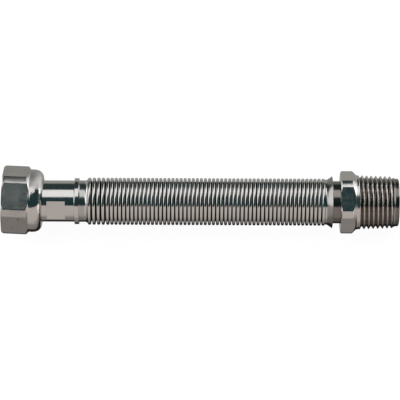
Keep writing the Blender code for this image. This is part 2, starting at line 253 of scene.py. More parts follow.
# %% The folds' outline
# Names in _AT, _START, _END, _FACE, _FRONT and _BACK are stations along X. CREST, ROOT, CUFF, WAIST and the like
# are radii.
FOLDS = 58
FOLD_PITCH = 1.603
WIDE_FOLDS = 4
WIDE_FOLD_PITCH = 1.8
CREST = 9.3
ROOT = 7.8
WALL = 0.25
CREST_FLAT = 0.2
SHOULDER_ARC = 0.4
GROOVE_ARC = 0.13
FIRST_CREST = CUFF_AT + 3.795
CRESTS = FIRST_CREST + np.concatenate([
    WIDE_FOLD_PITCH * np.arange(WIDE_FOLDS),
    WIDE_FOLDS * WIDE_FOLD_PITCH + FOLD_PITCH * np.arange(FOLDS - WIDE_FOLDS)])
LAST_CREST = CRESTS[-1]


def crest_template(inset, steps):
    """Points over one crest, x from its middle. Each shoulder is an arc of radius SHOULDER_ARC - inset about a
    centre CREST_FLAT from the middle and SHOULDER_ARC under the top."""
    turn = np.linspace(math.pi, math.pi / 2, steps)
    radius = SHOULDER_ARC - inset
    left = profile(-CREST_FLAT + radius * np.cos(turn), CREST - SHOULDER_ARC + radius * np.sin(turn))
    return np.concatenate([left, left[::-1] * np.array([-1, 1])])


def groove_template(inset, steps):
    """Points along one groove, x from its middle: a half circle of radius GROOVE_ARC + inset about a centre
    GROOVE_ARC above the root."""
    turn = np.linspace(math.pi, 2 * math.pi, steps)
    radius = GROOVE_ARC + inset
    return profile(radius * np.cos(turn), ROOT + GROOVE_ARC + radius * np.sin(turn))


def folds(inset, crest_steps, groove_steps):
    """The crest's points at every crest, each followed by the groove's points halfway to the next crest."""
    halfway = np.append((CRESTS[1:] + CRESTS[:-1]) / 2, 0)
    crest = crest_template(inset, crest_steps)[None] + profile(CRESTS, 0.0)[:, None]
    groove = groove_template(inset, groove_steps)[None] + profile(halfway, 0.0)[:, None]
    return np.concatenate([crest, groove], axis=1).reshape(-1, 2)[:-groove_steps]


print("points of the folds, outside:", len(folds(0.0, 5, 5)))

# %% The hose from cuff to flare
CUFF = 8.2
BELL_AT = CUFF_AT + 2.1
BELL_END = FIRST_CREST - 0.68
BELL_TURN = 0.92 * math.pi / 2
BELL_TOP = CREST - 0.45
FOLDS_END = LAST_CREST + 0.62
WAIST_AT = RIM_AT - 2.3
WAIST = 8.85
FLARE_HEIGHT = 1.48
FLARE_CURVE = 1.25
# A fixed share of painted shade on the inside of the tube.
TUBE_INSIDE_SHADE = 0.6
HEAT_TINT = 0.19
CUFF_TINT = 0.13
HOSE_COLUMNS = 68


def flare_radius(x):
    """Radius of the flare: it leaves the waist as the station's distance from it to the power 1.25."""
    return WAIST + FLARE_HEIGHT * (np.maximum(x - WAIST_AT, 0) / (RIM_AT - WAIST_AT)) ** FLARE_CURVE


def hose_points():
    """The hose's closed outline, outside from left to right and inside back, turned about the axis, and the field
    of how deep in a groove each row is, which darkens it as painted shade, or how heat stained it is."""
    bell = np.linspace(0, 1, 9)
    bell_x = BELL_AT + (BELL_END - BELL_AT) * bell
    # The bell rises as 1 - cos of nearly a quarter turn, so it leaves the cuff smoothly.
    bell_rise = 1 - np.cos(bell * BELL_TURN)
    flare_x = np.linspace(WAIST_AT, RIM_AT - 0.04, 14)
    # The waist falls from the last fold as the cosine of a quarter turn to the power 1.5.
    waist_x = np.linspace(FOLDS_END, WAIST_AT, 6, endpoint=False)
    waist_drop = np.cos((waist_x - FOLDS_END) / (WAIST_AT - FOLDS_END) * math.pi / 2) ** 1.5
    outside = np.concatenate([
        np.array([[CUFF_AT, CUFF - 0.06], [CUFF_AT + 0.03, CUFF - 0.015], [CUFF_AT + 0.1, CUFF], [CUFF_AT + 0.14, CUFF],
                  [BELL_AT - 0.2, CUFF]]),
        profile(bell_x, CUFF + (BELL_TOP - CUFF) * bell_rise),
        folds(0.0, 5, 5),
        profile(waist_x, WAIST + (CREST - SHOULDER_ARC - WAIST) * waist_drop)[1:],
        profile(flare_x, flare_radius(flare_x)),
        np.array([[RIM_AT - 0.01, flare_radius(RIM_AT) - 0.05], [RIM_AT, flare_radius(RIM_AT) - 0.12],
                  [RIM_AT, flare_radius(RIM_AT) - WALL + 0.03]])])
    inside = np.concatenate([
        np.array([[CUFF_AT, CUFF - WALL], [BELL_AT, CUFF - WALL]]),
        folds(WALL, 3, 3),
        np.array([[WAIST_AT, WAIST - WALL], [WAIST_AT + 1.2, flare_radius(WAIST_AT + 1.2) - WALL],
                  [RIM_AT - 0.04, flare_radius(RIM_AT) - WALL]])])
    outline = np.concatenate([outside, inside[::-1]])
    # The field is the depth under the crests' bright tops, and 0 on the bell and the waist. It paints shade into the
    # grooves, and a fixed share of painted shade onto the inside of the tube.
    bright_top = CREST - 0.15
    depth = np.concatenate([np.clip((bright_top - outside[:, 1]) / (bright_top - ROOT), 0, 1),
                            np.full(len(inside), TUBE_INSIDE_SHADE)])
    depth[(outline[:, 0] < BELL_END) | (outline[:, 0] > LAST_CREST + 0.9)] = 0.0
    # The welds have left a brown heat tint on the flare and a fainter one on the cuff.
    depth[outline[:, 0] > WAIST_AT] = HEAT_TINT
    depth[outline[:, 0] < BELL_AT] = CUFF_TINT
    angles = np.linspace(0, 2 * math.pi, HOSE_COLUMNS, endpoint=False)
    return turned(outline[:, :1], outline[:, 1:], angles), depth[:, None]


points, depth = hose_points()
hose = ring_mesh("hose_bellows", on_hose_axis(points), 55, {"groove": depth})
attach(hose, "hose")
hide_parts("corrugated_hose")

# %% [markdown]
# ## The tail
#
# The tail is turned from bar: a flange that the nut pulls on, a sleeve, and a collar that is welded to the hose's
# cuff. Two flats are milled across the sleeve for a spanner. A milled pocket has crisp edges, so columns of the
# grid lie exactly along them, and the ends of the pocket are two rows close together. The weld is a narrow bead
# between collar and cuff.

# %% The tail's outline and its two wrench flats
FLANGE_FRONT = tail_low[0]
FLANGE_BACK = FLANGE_FRONT + 2.0
FLANGE = THREAD_MINOR - 0.45
SPIGOT = CUFF - WALL - 0.02
SPIGOT_LENGTH = 1.8
SLEEVE = 8.15
COLLAR_AT = FLANGE_BACK + 16.0
COLLAR_END = COLLAR_AT + 2.1
COLLAR = 9.1
COLLAR_FACE = COLLAR_AT + 0.3
BEAD_HALF = 0.17
BEAD_HEIGHT = 0.08
TAIL_BORE = 6.0
POCKET_END = COLLAR_AT - 3.3
POCKET_START = POCKET_END - 7.2
POCKET_PLANE = 14.1 / 2
POCKET_MIDDLE = math.radians(128)
POCKET_HALF = math.acos(POCKET_PLANE / SLEEVE)
POCKET_STEP = 0.03


def pocket_angles(across, between):
    """Angles once round, with columns exactly on the four long edges of the two pockets."""
    edges = POCKET_MIDDLE + np.array([-POCKET_HALF, POCKET_HALF, math.pi - POCKET_HALF, math.pi + POCKET_HALF])
    flats = np.linspace(edges[[0, 2]], edges[[1, 3]], across, endpoint=False)
    rounds = np.linspace(edges[[1, 3]], [edges[2], edges[0] + 2 * math.pi], between, endpoint=False)
    return np.sort(np.concatenate([flats.ravel(), rounds.ravel()]) % (2 * math.pi))


def pocket_depth(angles):
    """How far the nearer flat lies below the sleeve: radius - plane / cos(angle from the flat's middle)."""
    g = (angles - POCKET_MIDDLE + math.pi / 2) % math.pi - math.pi / 2
    return np.where(np.abs(g) < POCKET_HALF, SLEEVE - POCKET_PLANE / np.cos(np.clip(g, -1.2, 1.2)), 0.0)


def tail_points():
    """The turned outline, less the pocket's depth between its two ends."""
    pocket_x = np.array([POCKET_START, POCKET_START + POCKET_STEP, POCKET_START + 4 * POCKET_STEP,
                         (POCKET_START + POCKET_END) / 2,
                         POCKET_END - 4 * POCKET_STEP, POCKET_END - POCKET_STEP, POCKET_END])
    sleeve_x = np.concatenate([np.linspace(FLANGE_BACK + 0.25, POCKET_START - 0.3, 6), pocket_x,
                               np.linspace(POCKET_END + 0.3, COLLAR_AT - 0.35, 4)])
    first = filleted([(FLANGE_FRONT, TAIL_BORE, 0), (FLANGE_FRONT, FLANGE, 0.15), (FLANGE_BACK, FLANGE, 0.2),
                      (FLANGE_BACK, SLEEVE, 0.12), (FLANGE_BACK + 0.25, SLEEVE, 0)])[:-1]
    bead = np.linspace(0, math.pi, 7)
    last = np.concatenate([
        filleted([(COLLAR_AT - 0.35, SLEEVE, 0), (COLLAR_FACE, SLEEVE, 0.15), (COLLAR_FACE, COLLAR, 0.25),
                  (COLLAR_END, COLLAR, 0.15), (COLLAR_END, CUFF + 0.1, 0.02)])[1:],
        profile(COLLAR_END + BEAD_HALF * (1 - np.cos(bead)), CUFF + 0.02 + BEAD_HEIGHT * np.sin(bead))[1:],
        filleted([(COLLAR_END + 2 * BEAD_HALF, CUFF, 0), (COLLAR_END + 2 * BEAD_HALF, SPIGOT, 0.02),
                  (COLLAR_END + SPIGOT_LENGTH, SPIGOT, 0.1), (COLLAR_END + SPIGOT_LENGTH, TAIL_BORE, 0.2),
                  (FLANGE_FRONT, TAIL_BORE, 0)])[1:-1]])
    outline = np.concatenate([first, profile(sleeve_x, SLEEVE), last])
    angles = pocket_angles(18, 42)
    x, radius = outline[:, :1], outline[:, 1:]
    in_pocket = (radius > TAIL_BORE + 1) * fade(x, POCKET_START, POCKET_START + POCKET_STEP) \
        * (1 - fade(x, POCKET_END - POCKET_STEP, POCKET_END))
    return turned(x, radius - in_pocket * pocket_depth(angles)[None, :], angles)


tail = ring_mesh("tail_sleeve", on_hose_axis(tail_points()), 24)
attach(tail, "hose")
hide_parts("union_tail")

# %% [markdown]
# ## The gasket
#
# A flat ring of black fibre rubber lies against the tail's flange, inside the nut. It is punched from sheet, so
# its edges are slightly drawn in. A small fillet on all four corners of its outline gives that.

# %% The gasket
GASKET_BACK = FLANGE_FRONT - 0.3
GASKET_FRONT = GASKET_BACK - 2.0
GASKET_EDGE = 0.25
# The outline starts and ends halfway up the back face, at two points a tenth of a millimetre apart.
gasket_outline = filleted([
    (GASKET_BACK, 7.5, 0), (GASKET_BACK, TAIL_BORE, GASKET_EDGE), (GASKET_FRONT, TAIL_BORE, GASKET_EDGE),
    (GASKET_FRONT, FLANGE, GASKET_EDGE), (GASKET_BACK, FLANGE, GASKET_EDGE), (GASKET_BACK, 7.6, 0)], 5)
gasket_angles = np.linspace(0, 2 * math.pi, 96, endpoint=False)
gasket = ring_mesh("gasket_ring", on_hose_axis(
    turned(gasket_outline[:, :1], gasket_outline[:, 1:], gasket_angles)), 60)
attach(gasket, "hose")
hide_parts("flat_gasket")

# %% [markdown]
# ## The nipple
#
# The nipple's hexagon is milled on turned stock. On the left a steep chamfer takes the corners off, on the right
# a 45 degree cone runs down to a plain land, and there the tapered male thread starts. The grid's radius is the
# smaller of the turned outline and the hexagon, with the crossing rounded, which gives the curved ends of the
# flats for nothing. The thread's wave is then cut below the crests: it fades in after the land, and towards the
# plain tip the tip's own cone cuts its last turn down.

# %% The nipple's turned outline
HEX_AT = RIM_AT + 2.8
HEX_END = HEX_AT + 5.1
HEX_FACE = HEX_AT + 0.45
HEX_FLATS = 22.7
HEX_CORNER = 12.32
HEX_CHAMFER = 0.5
CHAMFER_SLOPE = 1.2
CONE_LENGTH = 1.6
CONE_END = HEX_END + CONE_LENGTH
THREAD_AT = CONE_END + 0.6
THREAD_END = THREAD_AT + 14.2
NECK = 8.35
TIP = 9.4
NIPPLE_BORE = 6.25
GAUGE_LENGTH = 8.2
TAPER = 1 / 32
# Where the hexagon alone gives the radius, the turned outline runs this far outside its corners.
CLEAR = 0.6
HEX_CROSSING = 0.16


def crest_radius(x):
    """Radius over the tapered crests: nominal at the gauge length from the end, and 1/32 of the distance from
    there more or less."""
    return THREAD_DIAMETER / 2 + TAPER * (NIPPLE_END - GAUGE_LENGTH - x)


def nipple_outline():
    """Stations and turned radii from the spigot in the hose round to the bore, before hexagon and thread."""
    land = crest_radius(THREAD_AT)
    spigot = ROOT - WALL - 0.5
    hidden = filleted([(WAIST_AT - 2.5, NIPPLE_BORE, 0), (WAIST_AT - 2.5, spigot, 0.1), (WAIST_AT, spigot, 0.3),
                       (WAIST_AT + 0.1, WAIST - WALL - 0.05, 0.05),
                       (WAIST_AT + 1.2, flare_radius(WAIST_AT + 1.2) - WALL - 0.02, 0.3),
                       (RIM_AT - 0.1, flare_radius(RIM_AT) - WALL - 0.02, 0.05),
                       (RIM_AT + 0.12, flare_radius(RIM_AT) - WALL - 0.2, 0.1),
                       (RIM_AT + 0.12, NECK, 0.2), (HEX_AT - 0.3, NECK, 0)])
    face_edge = HEX_CORNER - HEX_CHAMFER
    face = filleted([(HEX_AT - 0.3, NECK, 0), (HEX_FACE, NECK, 0.15), (HEX_FACE, face_edge, 0.12),
                     (HEX_FACE + 0.12, face_edge + CHAMFER_SLOPE * 0.12, 0)])[1:]
    chamfer_x = np.linspace(HEX_FACE + 0.16, HEX_FACE + 0.7, 12)
    chamfer = profile(chamfer_x, face_edge + CHAMFER_SLOPE * (chamfer_x - HEX_FACE))
    flat = profile(np.linspace(HEX_FACE + 0.8, HEX_END - 0.45, 8), HEX_CORNER + CLEAR)
    cone_x = np.linspace(HEX_END - 0.35, CONE_END - 0.15, 30)
    cone = profile(cone_x, land + (HEX_CORNER - land) * (CONE_END - cone_x) / CONE_LENGTH)
    land_rows = filleted([(CONE_END - 0.15, land + 0.12, 0), (CONE_END, land, 0.2), (THREAD_AT - 0.1, land, 0)])[1:]
    tip_cone = filleted([(THREAD_END - 0.9, crest_radius(THREAD_END - 0.9), 0),
                         (THREAD_END - 0.3, crest_radius(THREAD_END), 0.25), (THREAD_END + 0.45, TIP, 0.2),
                         (NIPPLE_END - 0.4, TIP, 0.15), (NIPPLE_END, TIP - 0.4, 0.1), (NIPPLE_END, NIPPLE_BORE, 0.25),
                         (NIPPLE_END - 3, NIPPLE_BORE, 0)], 7)
    thread_x = np.arange(THREAD_AT, THREAD_END - 0.9, THREAD_PITCH / 19)
    thread = profile(thread_x, crest_radius(thread_x))
    return np.concatenate([hidden, face, chamfer, flat, cone, land_rows, thread, tip_cone])


nipple_rows = nipple_outline()
print("rows of the nipple:", len(nipple_rows))

# %% Mill the hexagon and cut the male thread
# The station of one crest of the male thread, where the angle is 0.
CREST_AT = 63.89
# How far painted shade darkens the neck, and cutting oil the plain tip.
NECK_SHADE = 0.85
TIP_STAIN = 0.95


def nipple_points(outline, angles):
    """Radius = the smaller of the turned outline and the hexagon, less the thread's wave where it is cut."""
    x, turned_radius = outline[:, :1], outline[:, 1:]
    hexagon = hexagon_radius(angles, HEX_FLATS, HEX_CORNER)[None, :]
    outer = turned_radius > NIPPLE_BORE + 0.5
    at_hexagon = (x > HEX_FACE - 0.01) & (x < CONE_END + 0.1) & (turned_radius > HEX_FLATS / 2 - 0.5)
    radius = np.where(at_hexagon, soft_min(turned_radius, hexagon, HEX_CROSSING), turned_radius + 0 * hexagon)
    # The root follows the taper; past the thread's end the wave stops and the plain tip is left.
    root = crest_radius(x) - THREAD_DEPTH * thread_wave(x, angles[None, :], CREST_AT)
    cut = fade(x, THREAD_AT - 0.1, THREAD_AT + 1.1) * (1 - fade(x, THREAD_END - 0.5, THREAD_END + 0.5))
    threaded = (x > THREAD_AT - 0.1) & (x < THREAD_END + 0.6) & outer
    depth_cut = np.where(threaded, np.maximum(radius - np.minimum(root, radius), 0) * cut, 0.0)
    # Painted shade darkens the neck between the flare and the hexagon, and cutting oil stains the plain tip.
    shade_and_stain = np.where((x > RIM_AT + 0.1) & (x < HEX_FACE - 0.01) & outer, NECK_SHADE, 0.0)
    shade_and_stain = shade_and_stain + np.where(outer, TIP_STAIN * fade(x, THREAD_END - 0.4, THREAD_END + 0.4), 0.0)
    return turned(x, radius - depth_cut, angles), np.clip(depth_cut / THREAD_DEPTH, 0, 1), shade_and_stain


points, depth, shade_and_stain = nipple_points(nipple_rows, HEXAGON_COLUMNS)
nipple = ring_mesh("nipple_hexagon_thread", on_hose_axis(points), 40, {"groove": depth, "shade_and_stain": shade_and_stain})
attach(nipple, "hose")
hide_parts("hex_nipple")

# %% [markdown]
# ## The union nut
#
# The nut is hot forged, and its bore, mouth, corners and collar are turned. The flats run out against the collar,
# and the collar curves in to the hole for the tail with a big radius. The same grid as for the nipple serves, now
# with a female thread inside. The nut's mesh is worked out about its own axis and then turned and lifted as whole
# arrays, so the finished object still sits unturned at the origin.

# %% The nut's outside
NUT_FLATS = 24.66
NUT_CORNER = 13.45
NUT_COLLAR = 12.35
NUT_MOUTH = NUT_CORNER - 0.55
MOUTH_AT = 0.02
NUT_CHAMFER_SLOPE = 0.8
NUT_HOLE = SLEEVE + 0.3
NUT_LENGTH = 15.8
NUT_SHOULDER_AT = NUT_LENGTH - 3.2
NUT_HEX_END = 9.8
NUT_COLLAR_AT = 10.7
REAR_LENGTH = 4
REAR_POWER = 0.85
RELIEF = THREAD_DIAMETER / 2 + 0.1
RELIEF_AT = NUT_SHOULDER_AT - 3.6
BORE_AT = NUT_SHOULDER_AT - 4.0
SINK = THREAD_DIAMETER / 2 + 0.6
RUN_OUT = 0.7
NUT_CROSSING = 0.25
BORE_CROSSING = 0.12
# A fixed share of painted shade on the nut's bore.
NUT_INSIDE_SHADE = 0.3
FROSTED_MIDDLE = math.radians(42)
FROSTED_REACH = (24, 38)
CORNER_FROST = 0.2
NUT_LEAN = math.radians(-2.3)
# The nut's axis crosses the hose's axis in the middle of the hole, and its shoulder stands off the tail's flange.
PIVOT_DEPTH = (NUT_LENGTH - NUT_SHOULDER_AT) / 2
SHOULDER_GAP = 0.5


def nut_outside():
    """Stations from the mouth and turned radii from the mouth's face to the rear hole."""
    mouth = filleted([(MOUTH_AT, SINK, 0), (MOUTH_AT, NUT_MOUTH, 0.3),
                      (0.25, NUT_MOUTH + NUT_CHAMFER_SLOPE * 0.25, 0)], 6)[1:]
    chamfer_x = np.linspace(0.3, 1.2, 14)
    chamfer = profile(chamfer_x, NUT_MOUTH + NUT_CHAMFER_SLOPE * chamfer_x)
    flat = profile(np.linspace(1.4, 9.0, 14), NUT_CORNER + CLEAR)
    cone_x = np.linspace(9.1, NUT_COLLAR_AT + 0.3, 30)
    drop = np.clip((cone_x - NUT_HEX_END) / (NUT_COLLAR_AT - NUT_HEX_END), -0.6, 1)
    cone = profile(cone_x, NUT_CORNER + (NUT_COLLAR - NUT_CORNER) * drop)
    collar = profile(np.linspace(NUT_COLLAR_AT + 0.5, NUT_LENGTH - REAR_LENGTH - 0.1, 3), NUT_COLLAR)
    t = np.linspace(0, math.pi / 2, 30)
    depth = NUT_COLLAR - NUT_HOLE - 0.5
    # The rear edge is a little squarer than a quarter of an ellipse.
    rear = profile(NUT_LENGTH - REAR_LENGTH + REAR_LENGTH * np.sin(t) ** REAR_POWER,
                   NUT_COLLAR - depth + depth * np.cos(t) ** REAR_POWER)
    hole = filleted([(NUT_LENGTH, NUT_HOLE + 0.4, 0), (NUT_LENGTH, NUT_HOLE, 0.2),
                     (NUT_SHOULDER_AT + 0.1, NUT_HOLE, 0)])[1:]
    return np.concatenate([mouth, chamfer, flat, cone, collar, rear, hole])


def nut_inside():
    """Stations and radii from the shoulder back to the mouth: relief, the thread's minor bore, countersink."""
    shoulder = filleted([(NUT_SHOULDER_AT, NUT_HOLE + 0.1, 0), (NUT_SHOULDER_AT, RELIEF, 0.2), (RELIEF_AT, RELIEF, 0.3),
                         (BORE_AT + 0.1, THREAD_MINOR, 0.1), (BORE_AT, THREAD_MINOR, 0)])[:-1]
    thread_x = np.concatenate([np.arange(BORE_AT, 1.9, -THREAD_PITCH / 18), np.linspace(1.85, 0.05, 20)])
    return np.concatenate([shoulder, profile(thread_x, THREAD_MINOR)])


nut_rows = np.concatenate([nut_outside(), nut_inside()])
print("rows of the nut:", len(nut_rows))

# %% Flats, run outs and the female thread
def nut_points(angles):
    """Outside, the smaller of the turned outline and the hexagon, whose flats run out to the collar over half a
    millimetre. Inside, the larger of the threaded bore and the 45 degree countersink."""
    x, turned_radius = nut_rows[:, :1], nut_rows[:, 1:]
    outer = np.arange(len(nut_rows))[:, None] < len(nut_rows) - len(nut_inside())
    run_out = RUN_OUT * fade(x, NUT_HEX_END + 0.65, NUT_COLLAR_AT + 0.2)
    hexagon = hexagon_radius(angles, NUT_FLATS, NUT_CORNER)[None, :]
    hexagon = np.maximum(hexagon, np.minimum(hexagon + run_out, NUT_COLLAR))
    at_hexagon = outer & (turned_radius > NUT_FLATS / 2 - 0.5) & (x < NUT_COLLAR_AT + 0.35)
    outside = np.where(at_hexagon, soft_min(turned_radius, hexagon, NUT_CROSSING), turned_radius + 0 * hexagon)
    wave = 1 - thread_wave(x, angles[None, :], 0.0)
    bore = THREAD_MINOR + THREAD_DEPTH * wave
    tapped = ~outer & (x < RELIEF_AT - 0.02)
    inside = np.where(tapped, -soft_min(-bore, x - SINK, BORE_CROSSING), turned_radius + 0 * hexagon)
    # The thread's first row keeps the end of the relief.
    inside = np.where(tapped & (x > BORE_AT + 0.02), np.maximum(inside, turned_radius), inside)
    # Painted shade darkens the thread's grooves, with their cutting residue, and a share of it the whole bore.
    groove = np.where(tapped, wave, 0.0) + np.where(~outer, NUT_INSIDE_SHADE, 0.0)
    collar = fade(x, NUT_HEX_END + 0.5, NUT_COLLAR_AT + 0.1)
    polished = np.where(outer, collar, 1.0)
    # One side of the collar is rubbed and frosted, fully within 24 degrees of its middle and not beyond 38.
    off = np.degrees(np.abs((angles - FROSTED_MIDDLE + math.pi) % (2 * math.pi) - math.pi))[None, :]
    patch = collar * (1 - fade(off, *FROSTED_REACH))
    # The corners are rubbed too: cylinders that reach 30 - arccos(half the flats / corner) degrees each way.
    strip = SIXTH / 2 - math.acos(NUT_FLATS / 2 / NUT_CORNER)
    corners = CORNER_FROST * (from_corner(angles)[None, :] < strip)
    frosted = np.where(outer, np.where(collar > 0, patch, corners), 0.0)
    return turned(x, np.where(outer, outside, inside), angles), np.clip(groove, 0, 1), polished, frosted


def on_nut_axis(points):
    """Turns points by the nut's lean about the upright line through the pivot, (x cos - y sin, x sin + y cos), and
    moves the pivot to its place in the frame."""
    cosine, sine = math.cos(NUT_LEAN), math.sin(NUT_LEAN)
    turn = np.array([[cosine, -sine, 0], [sine, cosine, 0], [0, 0, 1]])
    pivot = np.array([FLANGE_BACK + SHOULDER_GAP + PIVOT_DEPTH, 0, NUT_HEIGHT])
    return (points - np.array([NUT_LENGTH - PIVOT_DEPTH, 0, 0])) @ turn.T + pivot


points, depth, polished, frosted = nut_points(HEXAGON_COLUMNS)
nut = ring_mesh("union_nut_forging", on_nut_axis(points), 40,
                {"groove": depth, "polished": polished, "frosted": frosted})
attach(nut, "nut")
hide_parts("union_nut")

# %% [markdown]
# ## Helpers for materials
#
# Colours are written as sRGB hex, as a picture editor shows them, and one function turns them into the linear
# values that Blender works in. One more function adds a node with its settings and links. Inputs that have no
# name of their own go by number: 1 to 4 of a map range are its two limits on each side, and 6 and 7 of a colour
# mix, or 2 and 3 of a number mix, are what it mixes. All patterns read Object coordinates, and since every piece
# sits at the origin, those are simply metres in the frame.

# %% Colour and node helpers
def linear(hex_colour):
    """Linear RGBA of an sRGB hex colour: c/12.92 below 0.04045, else ((c + 0.055) / 1.055) to the power 2.4."""
    c = np.array([int(hex_colour[i:i + 2], 16) for i in (1, 3, 5)]) / 255
    return (*np.where(c <= 0.04045, c / 12.92, ((c + 0.055) / 1.055) ** 2.4).tolist(), 1.0)


def add_node(tree, kind, inputs=None, **settings):
    """Adds a node of a kind, such as Math for a ShaderNodeMath. Settings are its own options. Inputs, by name or
    number, are values, other nodes' output sockets, or other nodes, which stand for their first output."""
    made = tree.nodes.new("ShaderNode" + kind)
    for name, value in settings.items():
        setattr(made, name, value)
    for name, value in (inputs or {}).items():
        if isinstance(value, bpy.types.Node):
            value = value.outputs[0]
        if isinstance(value, bpy.types.NodeSocket):
            tree.links.new(value, made.inputs[name])
        else:
            made.inputs[name].default_value = value
    return made


def new_material(name):
    """A material, its node tree, its shader, and the socket that gives the piece's coordinates in metres."""
    material = bpy.data.materials.new(name)
    material.use_nodes = True
    tree = material.node_tree
    return material, tree, tree.nodes["Principled BSDF"], add_node(tree, "TexCoord").outputs["Object"]


def finish_metal(tree, shader, colour, rough, bump):
    """Links the last node of each chain to the shader and makes the shader a metal's."""
    tree.links.new(colour.outputs[2], shader.inputs["Base Color"])
    tree.links.new(rough.outputs[0], shader.inputs["Roughness"])
    tree.links.new(bump.outputs[0], shader.inputs["Normal"])
    shader.inputs["Metallic"].default_value = 1.0


# %% [markdown]
# ## Turned stainless steel
#
# The tail and the nipple are turned 304 stainless steel. The tool leaves fine rings round the axis, so a noise
# that changes quickly along X and hardly at all across it gives rings of slightly different slope and roughness.
# A real feed mark is 0.1 mm wide, too fine for a picture with 0.4 mm to a pixel, so the rings here are drawn
# 0.3 to 0.6 mm wide. In the thread's grooves the steel keeps dark cutting residue, and painted shade darkens
# them as well.

# %% The turned steel
def turned_steel(name, base, dark, roughness, ring_strength):
    """Bright turned 304 stainless: mirror-like reflections broken into rings, and thread grooves darkened by oil and
    painted shade.
    """
    material, tree, shader, coords = new_material(name)
    # 2500 per metre along X makes features of 0.4 mm; 25 across makes each ring 40 mm long.
    rings = add_node(tree, "Mapping", {"Vector": coords, "Scale": (2500, 25, 25)})
    ring_noise = add_node(tree, "TexNoise", {"Vector": rings, "Scale": 1.0, "Detail": 2.0})
    # Handling marks of 1.5 mm.
    marks = add_node(tree, "TexNoise", {"Vector": coords, "Scale": 650.0, "Detail": 3.0})
    groove = add_node(tree, "Attribute", attribute_name="groove")
    # Painted shade and cutting residue darken the thread's grooves.
    residue_and_shade = add_node(tree, "MapRange", {"Value": groove.outputs["Fac"], 1: 0.25, 2: 0.8})
    clean = add_node(tree, "Mix", {0: residue_and_shade, 6: linear(base), 7: linear(dark)}, data_type="RGBA")
    shade_and_stain = add_node(tree, "Attribute", attribute_name="shade_and_stain").outputs["Fac"]
    # Painted shade on the nipple's neck and cutting oil on its tip mix the steel towards a dull grey.
    tint = add_node(tree, "Mix", {0: shade_and_stain, 6: clean.outputs[2], 7: linear("#736d68")}, data_type="RGBA")
    marked = add_node(tree, "MapRange", {"Value": marks, 1: 0.3, 2: 0.7, 3: roughness * 0.8, 4: roughness * 1.3})
    rough = add_node(tree, "MapRange", {"Value": residue_and_shade, 3: marked, 4: 0.20})
    bump = add_node(tree, "Bump", {"Height": ring_noise, "Strength": ring_strength, "Distance": 0.00002})
    finish_metal(tree, shader, tint, rough, bump)
    return material


tail.data.materials.append(turned_steel("turned_304_stainless_sleeve", "#d0ccc7", "#8a8580", 0.11, 0.35))
nipple.data.materials.append(turned_steel("turned_304_stainless_thread", "#cfcbc6", "#8c827d", 0.15, 0.5))
print("turned steel on the tail and the nipple")

# %% [markdown]
# ## Formed stainless strip
#
# The hose is cold rolled 321 strip with a bright mill finish that pressing leaves almost untouched on the crests.
# The grooves keep drawing lubricant and the brown of the annealing oven, and little light gets in. The groove
# field on the mesh, 0 on the crests and 1 in the roots, dulls the steel there and darkens it: painted shade,
# along with that lubricant and brown.

# %% The strip steel
def strip_steel(name):
    """Bright rolled stainless strip with duller grooves, darkened by painted shade and lubricant."""
    material, tree, shader, coords = new_material(name)
    groove = add_node(tree, "Attribute", attribute_name="groove")
    inside = add_node(tree, "MapRange", {"Value": groove.outputs["Fac"], 1: 0.06, 2: 0.34})
    # Cloudy tone of 3 mm, as annealed strip has it.
    cloud = add_node(tree, "TexNoise", {"Vector": coords, "Scale": 330.0, "Detail": 3.0})
    crest = add_node(tree, "Mix", {0: cloud, 6: linear("#dad7d2"), 7: linear("#cac7c4")}, data_type="RGBA")
    # Painted shade: the grooves and the inside of the tube darken towards near black, along with lubricant. The flare
    # and the cuff take their heat tint from the same colour.
    tint = add_node(tree, "Mix", {0: inside, 6: crest.outputs[2], 7: linear("#2a2624")}, data_type="RGBA")
    rough = add_node(tree, "MapRange", {"Value": groove.outputs["Fac"], 1: 0.0, 2: 0.6, 3: 0.12, 4: 0.35})
    bump = add_node(tree, "Bump", {"Height": cloud, "Strength": 0.15, "Distance": 0.00005})
    finish_metal(tree, shader, tint, rough, bump)
    return material


hose.data.materials.append(strip_steel("formed_321_stainless_strip"))
print("strip steel on the hose")
